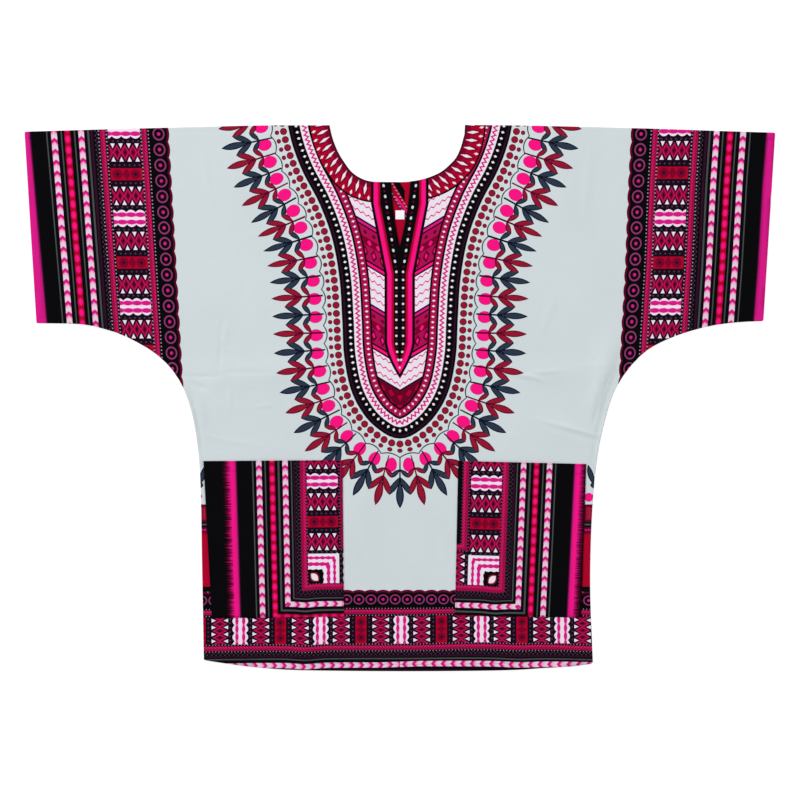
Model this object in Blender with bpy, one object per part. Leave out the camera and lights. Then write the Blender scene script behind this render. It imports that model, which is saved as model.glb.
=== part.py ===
"""Dashiki shirt laid flat: a kimono-cut front on a matching back, two patch pockets and a neck label.

Frame: +X across the shirt to the viewer's right, +Y from hem to neck, +Z up off the surface.
The origin is under the middle of the shirt, on the surface it lies on. Lengths are in metres,
and the tables give millimetres.
"""
import math
from collections import namedtuple

import bmesh
import bpy
from mathutils import Vector

MM = 0.001

# Driving dimensions
CLOTH = 1.0 * MM          # thickness of every wall of cloth
SEAM_GAP = 0.3 * MM       # clear space between pieces that are sewn or lie on each other
FRONT_GRID = 24 * MM      # spacing of the front's facets, fine enough for its folds
BACK_GRID = 96 * MM       # the back lies flat
EDGE_STEP = 17 * MM       # spacing of points along curved edges
NECK_STEP = 8 * MM        # the same along the neckline
MERGE = 1.5 * MM          # points closer than this along a cut edge are one point

SLIT_TOP_LEFT = Vector((-13.0 * MM, 322.0 * MM))
SLIT_TOP_RIGHT = Vector((15.6 * MM, 323.0 * MM))
SLIT_TIP = Vector((-0.4 * MM, 225.3 * MM))
SLIT_BOW = 2.2 * MM       # how far each side of the slit bows outwards at its middle
SLIT_POINTS = 5

LABEL_SIZE = 13.4 * MM
LABEL_CENTRE = Vector((0.0, 273.0 * MM))

Point = namedtuple("Point", "x y")

# Edges of the shirt, in millimetres, going round from the left shoulder to the hem, up the right side and
# along the neckline to the left shoulder again.
LEFT_SHOULDER = [
    Point(-105.0, 406.6), Point(-208.5, 406.2), Point(-280.0, 404.5), Point(-440.8, 400.4), Point(-557.6, 396.9),
]
LEFT_CUFF = [Point(-559.0, 395.4), Point(-541.4, 113.0)]
LEFT_UNDERARM = [
    Point(-540.0, 111.7), Point(-476.5, 110.4), Point(-440.4, 103.3), Point(-404.2, 90.1), Point(-359.7, 63.0),
    Point(-328.9, 27.4), Point(-310.3, -20.2), Point(-299.9, -84.0), Point(-296.3, -151.5), Point(-294.8, -240.9),
    Point(-292.1, -389.0),
]
HEM = [
    Point(-289.2, -390.3), Point(-243.8, -397.2), Point(-208.3, -401.2), Point(-148.9, -404.8), Point(0.0, -406.4),
    Point(148.9, -405.2), Point(220.4, -401.4), Point(256.1, -399.3), Point(285.4, -395.4),
]
RIGHT_UNDERARM = [
    Point(287.1, -392.5), Point(283.2, -284.0), Point(285.1, -187.3), Point(291.8, -103.9), Point(302.7, -43.9),
    Point(322.4, 16.5), Point(357.6, 62.8), Point(399.2, 88.2), Point(452.6, 105.6), Point(499.8, 112.9),
    Point(539.4, 114.8),
]
RIGHT_CUFF = [Point(541.2, 117.1), Point(558.6, 394.0)]
RIGHT_SHOULDER = [
    Point(557.2, 395.5), Point(470.7, 398.2), Point(381.3, 401.3), Point(202.6, 405.8), Point(96.9, 407.1),
]
NECKLINE = [
    Point(96.9, 407.1), Point(96.2, 397.0), Point(93.9, 385.4), Point(90.0, 372.2), Point(83.9, 358.9),
    Point(75.2, 348.9), Point(63.3, 338.6), Point(48.4, 330.9), Point(30.5, 325.4), Point(9.7, 322.2),
    Point(-12.0, 322.0), Point(-33.5, 322.2), Point(-47.5, 323.7), Point(-60.3, 328.7), Point(-72.2, 337.2),
    Point(-81.8, 349.6), Point(-90.3, 363.0), Point(-96.5, 376.4), Point(-101.2, 389.9), Point(-105.0, 406.6),
]

# Corners of each pocket, in millimetres, from its upper left corner clockwise.
POCKETS = {
    "pocket_left": [Point(-292.7, -93.5), Point(-85.6, -92.0), Point(-83.4, -325.1), Point(-280.0, -327.3)],
    "pocket_right": [Point(86.8, -93.3), Point(277.3, -97.9), Point(269.6, -326.3), Point(81.9, -323.8)],
}

# Folds of the front, in millimetres: each is a soft ridge from one end to the other.
Fold = namedtuple("Fold", "where x0 y0 x1 y1 width height")
FOLDS = [
    Fold("packing fold, left", -318, 33, -95, 42, 19, 1.9),
    Fold("packing fold, right", 150, 33, 322, 46, 19, 1.8),
    Fold("left underarm, outer", -336, 56, -298, -74, 17, 3.0),
    Fold("left underarm, inner", -302, 70, -262, -52, 24, 1.4),
    Fold("right underarm, outer", 322, 105, 278, -50, 16, 3.5),
    Fold("right underarm, inner", 276, 70, 262, -30, 22, 1.2),
    Fold("right side, slanting", 208, -34, 302, -62, 18, 2.6),
    Fold("left sleeve, lower", -520, 134, -372, 116, 27, 3.1),
    Fold("left sleeve, upper", -545, 262, -392, 236, 34, 1.9),
    Fold("right sleeve, lower", 372, 112, 524, 142, 26, 2.8),
    Fold("right sleeve, upper", 402, 300, 548, 268, 34, 2.2),
    Fold("left shoulder", -262, 392, -218, 262, 32, 1.6),
    Fold("right shoulder", 214, 390, 268, 246, 30, 1.8),
    Fold("left of the middle", -70, -104, -52, -230, 26, 1.7),
    Fold("hem, left", -146, -407, -138, -330, 24, 3.2),
    Fold("hem, right", 176, -404, 158, -338, 25, 2.6),
    Fold("left side, low", -296, -150, -258, -296, 26, 1.9),
    Fold("right side, low", 288, -170, 262, -286, 24, 1.7),
]


def curve_through(points, step=EDGE_STEP):
    """Points about a step apart along a smooth curve through the given ones, in metres."""
    knots = [Vector((p.x, p.y)) * MM for p in points]
    padded = [2 * knots[0] - knots[1]] + knots + [2 * knots[-1] - knots[-2]]
    out = [knots[0]]
    for before, start, end, after in zip(padded, padded[1:], padded[2:], padded[3:]):
        pieces = max(1, round((end - start).length / step))
        for i in range(1, pieces + 1):
            t = i / pieces
            pull_out = (end - before) * 0.5
            pull_in = (after - start) * 0.5
            out.append(start * (2 * t**3 - 3 * t**2 + 1) + end * (3 * t**2 - 2 * t**3)
                       + pull_out * (t**3 - 2 * t**2 + t) + pull_in * (t**3 - t**2))
    return out


def slit_side(start):
    """Points down one side of the neck slit, from its top to just above its tip."""
    along = SLIT_TIP - start
    outwards = Vector((math.copysign(SLIT_BOW, start.x), 0))
    steps = [i / SLIT_POINTS for i in range(SLIT_POINTS)]
    return [start + along * t + outwards * math.sin(math.pi * t) for t in steps]


def neckline(slit):
    """The neck edge from the right shoulder to the left one, with or without the slit down the front."""
    whole = curve_through(NECKLINE, NECK_STEP)
    if not slit:
        return whole
    right = [p for p in whole if p.x > SLIT_TOP_RIGHT.x + MERGE]
    left = [p for p in whole if p.x < SLIT_TOP_LEFT.x - MERGE]
    return right + slit_side(SLIT_TOP_RIGHT) + [SLIT_TIP] + slit_side(SLIT_TOP_LEFT)[::-1] + left


def outline(slit):
    """The shirt's closed outline, anticlockwise from above, with no point twice."""
    edges = [LEFT_SHOULDER, LEFT_CUFF, LEFT_UNDERARM, HEM, RIGHT_UNDERARM, RIGHT_CUFF, RIGHT_SHOULDER]
    points = [p for edge in edges for p in curve_through(edge)]
    loop = []
    for p in points + neckline(slit):
        if all((p - q).length > MERGE for q in loop[-1:] + loop[:1]):
            loop.append(p)
    return loop


def fold_height(x, y):
    """How far the folds lift the front at a place, in metres."""
    lift = 0.0
    for fold in FOLDS:
        start = Vector((fold.x0, fold.y0)) * MM
        along = Vector((fold.x1, fold.y1)) * MM - start
        rel = Vector((x, y)) - start
        t = rel.dot(along) / along.length_squared
        side = abs(rel.cross(along)) / along.length / (fold.width * MM)
        fade = max(0.0, 1 - (2 * t - 1) ** 2 * 0.72)
        lift += fold.height * MM * math.exp(-side * side) * fade * fade
    return lift


def flat_sheet(points, grid):
    """A flat sheet inside an outline, cut into a grid through the slit's tip."""
    bm = bmesh.new()
    bm.faces.new([bm.verts.new((p.x, p.y, 0)) for p in points])
    for axis in (0, 1):
        low = min(p[axis] for p in points)
        high = max(p[axis] for p in points)
        for i in range(math.ceil((low - SLIT_TIP[axis]) / grid), math.floor((high - SLIT_TIP[axis]) / grid) + 1):
            place = Vector((0, 0, 0))
            place[axis] = SLIT_TIP[axis] + i * grid
            normal = Vector((0, 0, 0))
            normal[axis] = 1
            everything = bm.verts[:] + bm.edges[:] + bm.faces[:]
            bmesh.ops.bisect_plane(bm, geom=everything, dist=MERGE / 2, plane_co=place, plane_no=normal)
    bmesh.ops.remove_doubles(bm, verts=bm.verts[:], dist=MERGE)
    return bm


def folded_front():
    """The front's underside: the sheet in triangles, lifted by the folds."""
    bm = flat_sheet(outline(slit=True), FRONT_GRID)
    bmesh.ops.triangulate(bm, faces=bm.faces[:])
    for v in bm.verts:
        v.co.z = CLOTH + SEAM_GAP + fold_height(v.co.x, v.co.y)
    return bm


def thicken(bm, name, colour, roughness):
    """Turn a sheet that is a wall's underside into the closed wall, as a named object with its own material."""
    bmesh.ops.triangulate(bm, faces=bm.faces[:])
    top = bmesh.ops.extrude_face_region(bm, geom=bm.faces[:], use_keep_orig=True)["geom"]
    for v in top:
        if isinstance(v, bmesh.types.BMVert):
            v.co.z += CLOTH
    bmesh.ops.recalc_face_normals(bm, faces=bm.faces[:])
    bmesh.ops.triangulate(bm, faces=bm.faces[:])
    mesh = bpy.data.meshes.new(name)
    bm.to_mesh(mesh)
    bm.free()
    mesh.shade_smooth()
    mesh.set_sharp_from_angle(angle=math.radians(50))
    material = bpy.data.materials.new(name + "_cloth")
    material.use_nodes = True
    shader = material.node_tree.nodes["Principled BSDF"]
    shader.inputs["Base Color"].default_value = (*colour, 1)
    shader.inputs["Roughness"].default_value = roughness
    shader.inputs["Metallic"].default_value = 0
    mesh.materials.append(material)
    obj = bpy.data.objects.new(name, mesh)
    bpy.context.scene.collection.objects.link(obj)
    return obj


def build_back():
    """The back panel: flat, with the same outline as the front but no slit."""
    thicken(flat_sheet(outline(slit=False), BACK_GRID), "back", (0.30, 0.03, 0.10), 0.85)


def build_front():
    """The front panel, lying on the back, with its folds and its neck slit."""
    thicken(folded_front(), "front", (0.62, 0.66, 0.68), 0.85)


def build_pockets():
    """Two patch pockets, cut from the front's own facets and moved out by the cloth and a gap."""
    for name, corners in POCKETS.items():
        bm = folded_front()
        for here, there in zip(corners, corners[1:] + corners[:1]):
            start = Vector((here.x, here.y, 0)) * MM
            end = Vector((there.x, there.y, 0)) * MM
            outwards = (end - start).cross(Vector((0, 0, -1)))
            everything = bm.verts[:] + bm.edges[:] + bm.faces[:]
            bmesh.ops.bisect_plane(bm, geom=everything, plane_co=start, plane_no=outwards, clear_outer=True)
        bmesh.ops.remove_doubles(bm, verts=bm.verts[:], dist=MERGE / 3)
        bmesh.ops.translate(bm, verts=bm.verts[:], vec=(0, 0, CLOTH + SEAM_GAP))
        thicken(bm, name, (0.10, 0.02, 0.05), 0.85)


def build_label():
    """The small blank label, sewn to the inside of the back where the slit shows it."""
    bm = bmesh.new()
    bmesh.ops.create_grid(bm, x_segments=1, y_segments=1, size=LABEL_SIZE / 2)
    bmesh.ops.translate(bm, verts=bm.verts[:], vec=(LABEL_CENTRE.x, LABEL_CENTRE.y, CLOTH + SEAM_GAP))
    thicken(bm, "neck_label", (0.88, 0.88, 0.88), 0.6)


def main():
    for obj in list(bpy.data.objects):
        bpy.data.objects.remove(obj)
    build_back()
    build_front()
    build_pockets()
    build_label()


main()
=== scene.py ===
"""Dashiki shirt laid flat: printed cotton front and back, patch pockets, a neck label and the sewing.

Every length is in metres unless its name or table says millimetres. +X runs across the shirt, +Y from hem
to neck and +Z up off the surface that it lies on.
"""
import math
from collections import namedtuple

import bmesh
import bpy
import numpy as np
from mathutils import Matrix, Vector
from mathutils.bvhtree import BVHTree


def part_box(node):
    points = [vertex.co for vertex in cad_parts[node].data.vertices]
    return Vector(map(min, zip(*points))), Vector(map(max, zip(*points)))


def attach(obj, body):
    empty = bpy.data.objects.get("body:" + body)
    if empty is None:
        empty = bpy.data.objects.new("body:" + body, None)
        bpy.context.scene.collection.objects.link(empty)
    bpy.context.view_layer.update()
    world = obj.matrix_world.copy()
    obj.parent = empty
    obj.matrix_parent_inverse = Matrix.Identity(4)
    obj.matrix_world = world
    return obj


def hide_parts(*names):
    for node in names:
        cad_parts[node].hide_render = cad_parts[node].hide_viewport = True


bl_info = {
    "name": "Dashiki Shirt",
    "version": (1, 0, 0),
    "blender": (4, 5, 0),
    "location": "View3D > Sidebar > Dashiki",
    "description": "Dresses the flat dashiki's frame in printed cotton, with pockets, label and stitching",
    "category": "Object",
}

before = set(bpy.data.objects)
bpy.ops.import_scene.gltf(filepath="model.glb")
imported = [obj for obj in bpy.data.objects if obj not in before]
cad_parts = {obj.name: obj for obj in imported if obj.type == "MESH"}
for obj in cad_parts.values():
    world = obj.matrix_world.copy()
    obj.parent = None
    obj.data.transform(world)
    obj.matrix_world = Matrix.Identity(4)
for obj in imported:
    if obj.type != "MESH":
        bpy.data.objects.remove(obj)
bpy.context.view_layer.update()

MM = 0.001
Point = namedtuple("Point", "x y")
Fold = namedtuple("Fold", "where x0 y0 x1 y1 width height")
Border = namedtuple("Border", "start width narrowing")
Light = namedtuple("Light", "name place size power")

# The large folds of the front, in millimetres, as its solid has them: soft ridges from end to end.
FOLDS = [
    Fold("packing fold, left", -318, 33, -95, 42, 19, 1.9),
    Fold("packing fold, right", 150, 33, 322, 46, 19, 1.8),
    Fold("left underarm, outer", -336, 56, -298, -74, 17, 3.0),
    Fold("left underarm, inner", -302, 70, -262, -52, 24, 1.4),
    Fold("right underarm, outer", 322, 105, 278, -50, 16, 3.5),
    Fold("right underarm, inner", 276, 70, 262, -30, 22, 1.2),
    Fold("right side, slanting", 208, -34, 302, -62, 18, 2.6),
    Fold("left sleeve, lower", -520, 134, -372, 116, 27, 3.1),
    Fold("left sleeve, upper", -545, 262, -392, 236, 34, 1.9),
    Fold("right sleeve, lower", 372, 112, 524, 142, 26, 2.8),
    Fold("right sleeve, upper", 402, 300, 548, 268, 34, 2.2),
    Fold("left shoulder", -262, 392, -218, 262, 32, 1.6),
    Fold("right shoulder", 214, 390, 268, 246, 30, 1.8),
    Fold("left of the middle", -70, -104, -52, -230, 26, 1.7),
    Fold("hem, left", -146, -407, -138, -330, 24, 3.2),
    Fold("hem, right", 176, -404, 158, -338, 25, 2.6),
    Fold("left side, low", -296, -150, -258, -296, 26, 1.9),
    Fold("right side, low", 288, -170, 262, -286, 24, 1.7),
]

# Creases pressed into the cloth, in millimetres: narrow ridges, and troughs where the height is negative.
CREASES = [
    Fold("pressed line, left end", -330, 32.2, -262, 33.0, 3.0, -0.90),
    Fold("pressed line, left", -270, 38.0, -182, 38.5, 3.6, -0.75),
    Fold("upright from the pressed line", -271.5, 26, -263.5, 122, 3.6, -0.60),
    Fold("beside the upright", -252, 118, -274, 60, 5.0, 0.50),
    Fold("below the pressed line", -320, 26, -279, 10, 4.2, -1.00),
    Fold("short upright, left", -254, 18, -253, -24, 3.0, 0.50),
    Fold("left side, long curve", -304, -51, -250, -66, 3.4, 0.50),
    Fold("left side, end of the curve", -272, -61, -196, -72, 3.8, 0.45),
    Fold("beside the yoke, low left", -220, -13, -185, -10, 2.8, 0.50),
    Fold("pressed line, right", 160, 37.0, 212, 29.6, 3.0, 1.75),
    Fold("pressed line, right, bent end", 196, 31.6, 220, 23.0, 2.4, 0.80),
    Fold("pressed line, right, fork", 193, 37.8, 245, 41.4, 2.6, 1.05),
    Fold("pressed line, right end", 262, 48, 320, 48, 2.8, 0.45),
    Fold("slanting crease", 196, -28.6, 334, -66.8, 2.8, 1.60),
    Fold("slanting crease, lower edge", 206, -40, 322, -72, 4.0, -0.60),
    Fold("right side, below the crease", 260, -48, 294, -104, 11.0, 1.10),
    Fold("right underarm, edge", 336, 96, 301, -30, 8.0, -1.10),
    Fold("right underarm, short", 292, 26, 284, -34, 4.4, 0.60),
    Fold("right underarm, pucker", 313, 42, 300, -2, 2.4, -0.70),
    Fold("right underarm, pucker below", 295, -8, 286, -44, 2.4, -0.60),
    Fold("right underarm, fine line", 297, 36, 293, 4, 2.2, 0.45),
    Fold("left underarm, pucker", -312, 20, -300, -16, 2.4, -0.60),
    Fold("left underarm, pucker below", -304, -22, -298, -58, 2.2, -0.50),
    Fold("left underarm, short", -300, 12, -288, -38, 4.6, 0.55),
    Fold("left of yoke, faint", -232, 182, -196, 96, 7.0, 0.50),
    Fold("right of yoke, faint", 236, 168, 206, 84, 6.5, 0.50),
    Fold("left shoulder, faint", -300, 392, -276, 268, 6.0, 0.40),
    Fold("right shoulder, faint", 286, 384, 272, 250, 6.5, 0.45),
    Fold("left sleeve, across", -486, 372, -470, 262, 6.0, 0.60),
    Fold("left sleeve, low", -462, 176, -398, 104, 5.5, 0.80),
    Fold("right sleeve, across", 478, 380, 462, 286, 6.0, 0.55),
    Fold("right sleeve, low", 398, 102, 470, 168, 5.5, 0.75),
    Fold("below the yoke, left", -60, -182, -38, -266, 6.0, 0.45),
    Fold("below the yoke, right", 52, -190, 60, -262, 6.5, -0.40),
    Fold("hem dip, left", -143, -406, -140, -356, 5.0, 0.80),
    Fold("hem, beside the dip", -132, -405, -126, -372, 4.5, -0.50),
    Fold("hem, right of middle", 96, -404, 90, -376, 5.0, 0.50),
    Fold("hem, far right", 214, -400, 206, -360, 5.0, 0.55),
]

# Slack in the pockets, in millimetres.
POCKET_FOLDS = [
    Fold("left pocket, mouth", -262, -96, -120, -95, 12, 1.0),
    Fold("left pocket, low", -262, -272, -112, -300, 14, 0.9),
    Fold("left pocket, upright", -176, -128, -168, -226, 16, 0.7),
    Fold("right pocket, mouth", 108, -96, 252, -98, 12, 1.1),
    Fold("right pocket, low", 102, -302, 246, -276, 14, 0.8),
    Fold("right pocket, upright", 196, -130, 188, -240, 15, 0.7),
]

# Half of the yoke's outline, in millimetres, from its point at the bottom up to the shoulder.
YOKE_EDGE = [
    Point(0, -60), Point(22, -53), Point(50, -29), Point(72, 10), Point(83, 62), Point(86, 118),
    Point(90, 178), Point(101, 238), Point(120, 290), Point(146, 340), Point(163, 388), Point(171, 440),
    Point(174, 490),
]

# Each pocket's inner edge, in millimetres: its top and its foot.
POCKET_INNER_EDGES = {
    "pocket_left": (Point(-85.6, -92.0), Point(-83.4, -318.4)),
    "pocket_right": (Point(87.9, -94.2), Point(81.9, -318.4)),
}
# Where the printed border lies on a pocket: its start beyond the inner edge, in millimetres, its width as a
# share of the full one, and how much of that it loses for each millimetre down.
POCKET_BORDERS = {"pocket_left": Border(11.8, 0.99, 0.00013), "pocket_right": Border(0.0, 0.98, 0.00013)}
POCKET_TURN = 116.2             # how far down a pocket the border that turns along its foot starts
SLEEVE_WIDTHS = [(1.0, 0.00016), (0.977, 0.0001)]      # the left and right borders' width and narrowing

# Where the printed zones lie, in millimetres.
SLEEVE_BORDER_START = 342.5     # from the middle to the border's inner edge, at the shoulder
SLEEVE_BORDER_TOP = 396.5
SLEEVE_BORDER_LEAN = 0.0565     # the border leans in by this much for each length down
SLEEVE_FOOT = -60.0
HEM_BORDER_TOP = -284.5
HEM_ZONE_TOP = HEM_BORDER_TOP + 4
SIDE_STRIP = 262.0
SIDE_STRIP_TOP = -94.0
YOKE_ZONE_HALF = 284.0
YOKE_ZONE_FOOT = -172.0

# Where the outline's parts lie, in millimetres.
NECK_MIDDLE = -4.0
NECK_HALF_WIDTH = 101.0
NECK_FOOT = 321.5
SLIT_FOOT = 200.0               # the neckline and the slit are all above this
CUFF = 541.0                    # the outline is a cuff beyond this
FOOT = -388.0                   # and the foot's hem below this
POCKET_MOUTH = -110.0           # a pocket's edges above this are its mouth, which isn't sewn down
CREASE_REACH = 9.0              # how near to a crease the cloth's grid is finer

ZONES = ["ground", "yoke", "sleeve", "hem", "side"]

HEM_DEPTH = 12.0                # of the cuffs' and the foot's turned hems, in millimetres
SHARP = math.radians(28)        # an outline's corner turns by more than this

# What is cut, in metres: the turnings that a pocket has beyond its outline.
POCKET_TURNING = 0.008          # folded in at the sides and the foot of a pocket
MOUTH_HEM = 0.018               # folded in at its mouth, deeper than the seam that holds it

CAMERA_HEIGHT = 7.0
FRAME_WIDTH = 1.1915            # of the square view, at the cloth's height
FRAME_CENTRE = Point(0.0, -0.0026)
SENSOR = 36                     # width in millimetres
LIGHTS = [Light("key", (-4.25, 3.25, 2.9), 1.25, 224), Light("fill", (3.4, 0.2, 3.2), 2.6, 50)]


def linear(red, green, blue):
    """A colour's linear values from its usual 0 to 255 ones."""
    return tuple(round(((c / 255 + 0.055) / 1.055) ** 2.4 if c > 10 else c / 255 / 12.92, 5)
                 for c in (red, green, blue))


def colour_property(name, description, *rgb):
    return bpy.props.FloatVectorProperty(
        name=name, description=description, subtype="COLOR", size=3, min=0, max=1, default=linear(*rgb))


def length_property(name, description, millimetres):
    return bpy.props.FloatProperty(
        name=name, description=description, default=millimetres * MM, unit="LENGTH")


class DashikiCloth(bpy.types.PropertyGroup):
    """Sizes of the cloth and the sewing."""
    thickness: length_property("Thickness", "How thick the cotton is", 0.7)
    facet: length_property("Facet", "Spacing of the cloth's grid", 8)
    layer: length_property("Layer height", "Height of the front's underside where it lies flat", 1.3)
    seam_roll: length_property("Seam roll", "Width of the rounded edge along a seam", 5)
    pocket_rise: length_property("Pocket rise", "How far a pocket lies above the front's underside", 1.3)
    stitch: length_property("Stitch", "Length of one stitch with its gap", 3.2)
    thread: length_property("Thread", "Thickness of the sewing thread", 0.45)


class DashikiColours(bpy.types.PropertyGroup):
    """Colours of the print."""
    pale: colour_property("Pale", "The pale grey-white ground", 209, 218, 221)
    white: colour_property("White", "White of the motifs", 238, 226, 238)
    black: colour_property("Black", "Near black of the stripes", 9, 8, 11)
    grey: colour_property("Grey", "Thin grey lines on the black", 72, 76, 78)
    pink: colour_property("Hot pink", "The brightest pink", 250, 20, 130)
    magenta: colour_property("Magenta", "The bluer pink", 214, 26, 134)
    crimson: colour_property("Crimson", "Red of the bands", 172, 18, 80)
    red: colour_property("Red", "Red of the blocks", 173, 5, 43)
    brick: colour_property("Brick", "Brown-red of the leaves", 146, 24, 48)
    wine: colour_property("Wine", "Dark red of the outlines", 100, 4, 42)
    plum: colour_property("Plum", "Dark purple between the stripes", 46, 14, 38)
    slate: colour_property("Slate", "Blue-grey of the leaves", 44, 56, 74)
    navy: colour_property("Navy", "Blue-black of the outlines", 14, 22, 38)
    mauve: colour_property("Mauve", "Dull pink of the rings", 142, 56, 108)
    silver: colour_property("Silver", "Grey-white of the smallest dots", 160, 142, 156)
    blush: colour_property("Blush", "Pale pink behind the arrowheads", 244, 160, 200)
    rose: colour_property("Rose", "Bright crimson of the lozenges", 184, 22, 92)
    night: colour_property("Night", "Purple-black behind the teeth", 26, 10, 26)
    garnet: colour_property("Garnet", "Deep red inside the lozenges", 124, 4, 42)
    dusk: colour_property("Dusk", "Grey-purple of the faint dots", 74, 52, 74)
    cerise: colour_property("Cerise", "Brighter side of the hatched bands", 220, 30, 108)
    pearl: colour_property("Pearl", "White of the arrowheads' rows", 229, 206, 221)
    tape: colour_property("Tape", "White of the label", 250, 248, 253)


def adds(operation, swapped=False):
    """A method that adds a Math node of the number and others, with the others first if swapped."""
    def method(self, *others):
        return self.cloth.maths(operation, *((*others, self) if swapped else (self, *others)))
    return method


class Number:
    """A number in a material's nodes. Whatever is done with it adds a Math node."""

    def __init__(self, cloth, socket):
        self.cloth = cloth
        self.socket = socket

    __add__ = __radd__ = adds("ADD")
    __sub__ = adds("SUBTRACT")
    __rsub__ = adds("SUBTRACT", swapped=True)
    __mul__ = __rmul__ = adds("MULTIPLY")
    __truediv__ = adds("DIVIDE")
    __abs__ = adds("ABSOLUTE")
    __lt__ = adds("LESS_THAN")
    __gt__ = adds("GREATER_THAN")
    at_least = adds("MAXIMUM")
    at_most = adds("MINIMUM")
    power = adds("POWER")
    root = adds("SQRT")
    sine = adds("SINE")
    fraction = adds("FRACT")
    angle_from = adds("ARCTAN2")

    def repeat(self, pitch, phase=0.0):
        """Distance from the nearest of the marks that are a pitch apart, one of them at the phase."""
        return self.cloth.maths("PINGPONG", self - phase, pitch / 2)

    def part(self, pitch, phase=0.0):
        """How far through its repeat, from 0 to 1."""
        return ((self - phase) / pitch).fraction()

    def wave(self, pitch):
        """A sine from -1 to 1 that repeats after a pitch."""
        return (self * (2 * math.pi / pitch)).sine()

    def between(self, low, high):
        """1 between two limits and 0 beyond them."""
        return self.cloth.maths("COMPARE", self, (low + high) / 2, (high - low) / 2)


THREAD_PITCH = 0.55             # of the weave, in millimetres
BORDER_REACH = 240.0            # the widest printed border


class Cloth:
    """The material of a printed cloth: a ground colour, painted over motif by motif."""

    def __init__(self, name, ground):
        self.material = bpy.data.materials.new(name)
        self.material.use_nodes = True
        self.tree = self.material.node_tree
        self.shader = self.tree.nodes["Principled BSDF"]
        self.ink = bpy.context.scene.dashiki_colours
        self.colour = self.paint_colour(ground)

    def paint_colour(self, colour):
        return (*getattr(self.ink, colour), 1) if isinstance(colour, str) else colour

    def node(self, kind, settings=None, sockets=None):
        """A node of a type, with its settings made first and then its sockets' values or links."""
        made = self.tree.nodes.new(kind)
        for name, value in (settings or {}).items():
            if name == "stops":
                self.set_stops(made.color_ramp, value)
            else:
                setattr(made, name, value)
        for key, value in (sockets or {}).items():
            value = value.socket if isinstance(value, Number) else value
            if isinstance(value, bpy.types.NodeSocket):
                self.tree.links.new(value, made.inputs[key])
            else:
                made.inputs[key].default_value = value
        return made

    def set_stops(self, ramp, stops):
        """Stops are (place, colour) from 0 to 1, and a colour is one of the print's names."""
        while len(ramp.elements) < len(stops):
            ramp.elements.new(1)
        for element, (place, colour) in zip(ramp.elements, stops):
            element.position = place
            element.color = self.paint_colour(colour)

    def maths(self, operation, *values):
        made = self.node("ShaderNodeMath", {"operation": operation}, dict(enumerate(values)))
        return Number(self, made.outputs[0])

    def mix(self, mask, under, over):
        sockets = {0: mask, 6: self.paint_colour(under), 7: self.paint_colour(over)}
        return self.node("ShaderNodeMix", {"data_type": "RGBA"}, sockets).outputs[2]

    def paint(self, mask, colour):
        self.colour = self.mix(mask, self.colour, colour)

    def ramp(self, value, stops, interpolation="CONSTANT"):
        made = self.node("ShaderNodeValToRGB", {"stops": stops}, {0: value})
        made.color_ramp.interpolation = interpolation
        return made.outputs[0]

    def stripes(self, across, rows, reach=BORDER_REACH):
        """Plain stripes: each row is where one starts, in millimetres, and its colour."""
        return self.ramp(across / reach, [(start / reach, colour) for start, colour in rows])

    def pair(self, vector):
        """The first two numbers of a vector."""
        split = self.node("ShaderNodeSeparateXYZ", None, {0: vector})
        return Number(self, split.outputs[0]), Number(self, split.outputs[1])

    def uv(self, layer):
        """The two numbers of a UV map."""
        return self.pair(self.node("ShaderNodeUVMap", {"uv_map": layer}).outputs[0])

    def place(self):
        """Where a point is on the shirt, across and up it, in millimetres."""
        x, y = self.pair(self.node("ShaderNodeTexCoord").outputs["Object"])
        return x * 1000, y * 1000

    def noise(self, scale, detail=2.0, stretch=(1, 1, 1)):
        """A soft noise from 0 to 1, with a scale in bumps for each metre."""
        where = self.node("ShaderNodeTexCoord").outputs["Object"]
        stretched = self.node("ShaderNodeMapping", None, {0: where, 3: stretch}).outputs[0]
        made = self.node("ShaderNodeTexNoise", {"noise_dimensions": "3D"},
                         {"Vector": stretched, "Scale": scale, "Detail": detail})
        return Number(self, made.outputs[0])

    def finish(self, weave=0.5, roughness=0.86):
        """Add the plain weave, the slight unevenness of the dye and the cotton's dry sheen."""
        x, y = self.place()
        threads = x.wave(THREAD_PITCH) * y.wave(THREAD_PITCH)
        slub = self.noise(2400, 2.0, (1.0, 0.16, 1.0)) + self.noise(2400, 2.0, (0.16, 1.0, 1.0))
        rumple = self.noise(46, 3.0)
        height = threads * 0.25 + slub * 0.5 + rumple * 5.0
        bump = self.node("ShaderNodeBump", None, {"Strength": weave, "Distance": 0.00022, "Height": height})
        self.tree.links.new(bump.outputs[0], self.shader.inputs["Normal"])
        fade = (self.noise(9, 3.0) - 0.5) * 0.07 + (slub - 1.0) * 0.09 + 1.0
        if isinstance(self.colour, tuple):
            self.colour = self.colour[:3]
        shaded = self.node("ShaderNodeVectorMath", {"operation": "SCALE"}, {0: self.colour, "Scale": fade})
        self.tree.links.new(shaded.outputs[0], self.shader.inputs["Base Color"])
        self.shader.inputs["Roughness"].default_value = roughness
        self.shader.inputs["Specular IOR Level"].default_value = 0.02
        return self.material


# Motifs. Each paints a row of a border, with along and across in millimetres.


def dots(cloth, along, across, middle, pitch, radius, colour, phase=0.0):
    p = along.repeat(pitch, phase)
    q = across - middle
    cloth.paint(p * p + q * q < radius * radius, colour)


def lozenges(cloth, along, across, middle, pitch, half_length, half_width, colour, phase=0.0):
    p = along.repeat(pitch, phase)
    q = abs(across - middle)
    cloth.paint(p / half_length + q / half_width < 1, colour)


ARROWHEAD = [(0.0, "magenta"), (0.27, "magenta"), (0.42, "blush"), (0.66, "pearl"), (0.93, "pearl"),
             (1.0, "magenta")]
BEAD = [(0.0, "pink"), (0.42, "pink"), (0.9, "red"), (1.0, "red")]


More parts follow.
